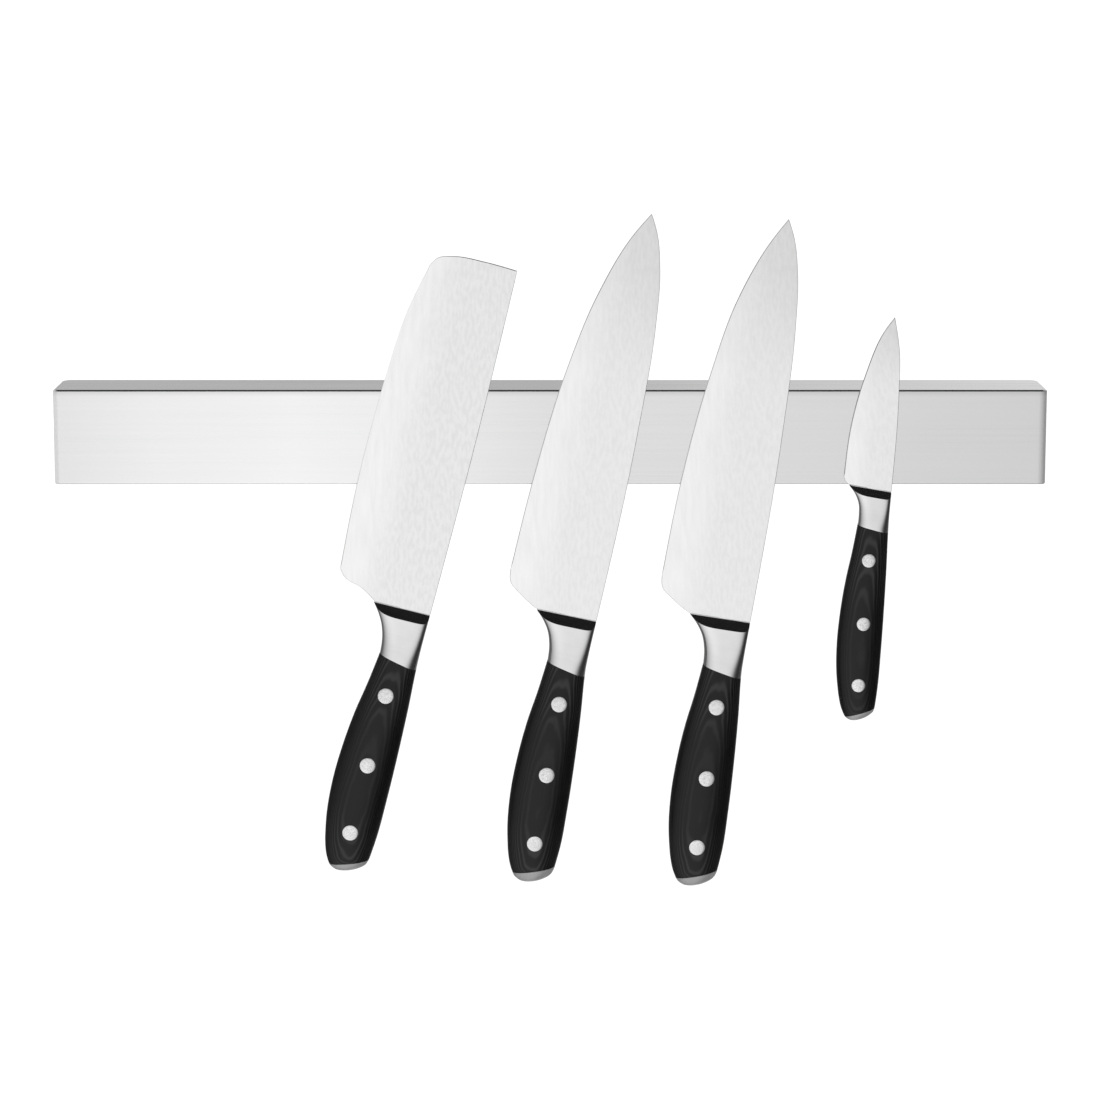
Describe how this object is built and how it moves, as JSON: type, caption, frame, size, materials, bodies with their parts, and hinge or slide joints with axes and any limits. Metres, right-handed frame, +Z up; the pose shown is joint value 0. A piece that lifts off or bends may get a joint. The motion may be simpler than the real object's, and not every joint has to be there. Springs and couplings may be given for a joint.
{
  "type": "magnetic knife rack",
  "caption": "Wall-mounted brushed steel magnetic bar with kitchen knives held on its front face, blades up and dark riveted handles down.",
  "frame": {"origin": "centre of the bar's back, in the plane of the wall it is fixed to", "axes": "+X along the bar to the right as seen from the front, +Y into the wall, +Z up"},
  "size_m": [0.5, 0.037, 0.3482],
  "materials": {
    "cover_steel": "satin",
    "tray_plastic": "satin",
    "pole_steel": "satin",
    "ferrite": "matte",
    "zinc_plate": "satin",
    "screw_zinc": "satin",
    "blade_steel": "satin",
    "bolster_steel": "satin",
    "handle_wood": "satin",
    "rivet_steel": "satin",
    "cap_steel": "satin"
  },
  "bodies": {
    "rack": {"front_cover": "cover_steel", "magnet_tray": "tray_plastic", "upper_pole_rail": "pole_steel", "lower_pole_rail": "pole_steel", "magnet_1": "ferrite", "magnet_2": "ferrite", "magnet_3": "ferrite", "magnet_4": "ferrite", "magnet_5": "ferrite", "magnet_6": "ferrite", "magnet_7": "ferrite", "magnet_8": "ferrite", "back_plate": "zinc_plate", "backplate_screw_1": "screw_zinc", "backplate_screw_2": "screw_zinc", "backplate_screw_3": "screw_zinc", "backplate_screw_4": "screw_zinc"},
    "nakiri_knife": {"nakiri_blade": "blade_steel", "nakiri_bolster": "bolster_steel", "nakiri_scale_front": "handle_wood", "nakiri_scale_back": "handle_wood", "nakiri_rivet_1": "rivet_steel", "nakiri_rivet_2": "rivet_steel", "nakiri_rivet_3": "rivet_steel", "nakiri_end_cap": "cap_steel"},
    "chef_knife_left": {"chef_left_blade": "blade_steel", "chef_left_bolster": "bolster_steel", "chef_left_scale_front": "handle_wood", "chef_left_scale_back": "handle_wood", "chef_left_rivet_1": "rivet_steel", "chef_left_rivet_2": "rivet_steel", "chef_left_rivet_3": "rivet_steel", "chef_left_end_cap": "cap_steel"},
    "chef_knife_right": {"chef_right_blade": "blade_steel", "chef_right_bolster": "bolster_steel", "chef_right_scale_front": "handle_wood", "chef_right_scale_back": "handle_wood", "chef_right_rivet_1": "rivet_steel", "chef_right_rivet_2": "rivet_steel", "chef_right_rivet_3": "rivet_steel", "chef_right_end_cap": "cap_steel"},
    "paring_knife": {"paring_blade": "blade_steel", "paring_bolster": "bolster_steel", "paring_scale_front": "handle_wood", "paring_scale_back": "handle_wood", "paring_rivet_1": "rivet_steel", "paring_rivet_2": "rivet_steel", "paring_rivet_3": "rivet_steel", "paring_end_cap": "cap_steel"}
  },
  "joints": [
    {"name": "nakiri_pull", "type": "slide", "parent": "rack", "child": "nakiri_knife", "axis": [0, -1, 0], "range_m": [0, 0.08]},
    {"name": "chef_left_pull", "type": "slide", "parent": "rack", "child": "chef_knife_left", "axis": [0, -1, 0], "range_m": [0, 0.08]},
    {"name": "chef_right_pull", "type": "slide", "parent": "rack", "child": "chef_knife_right", "axis": [0, -1, 0], "range_m": [0, 0.08]},
    {"name": "paring_pull", "type": "slide", "parent": "rack", "child": "paring_knife", "axis": [0, -1, 0], "range_m": [0, 0.08]}
  ]
}
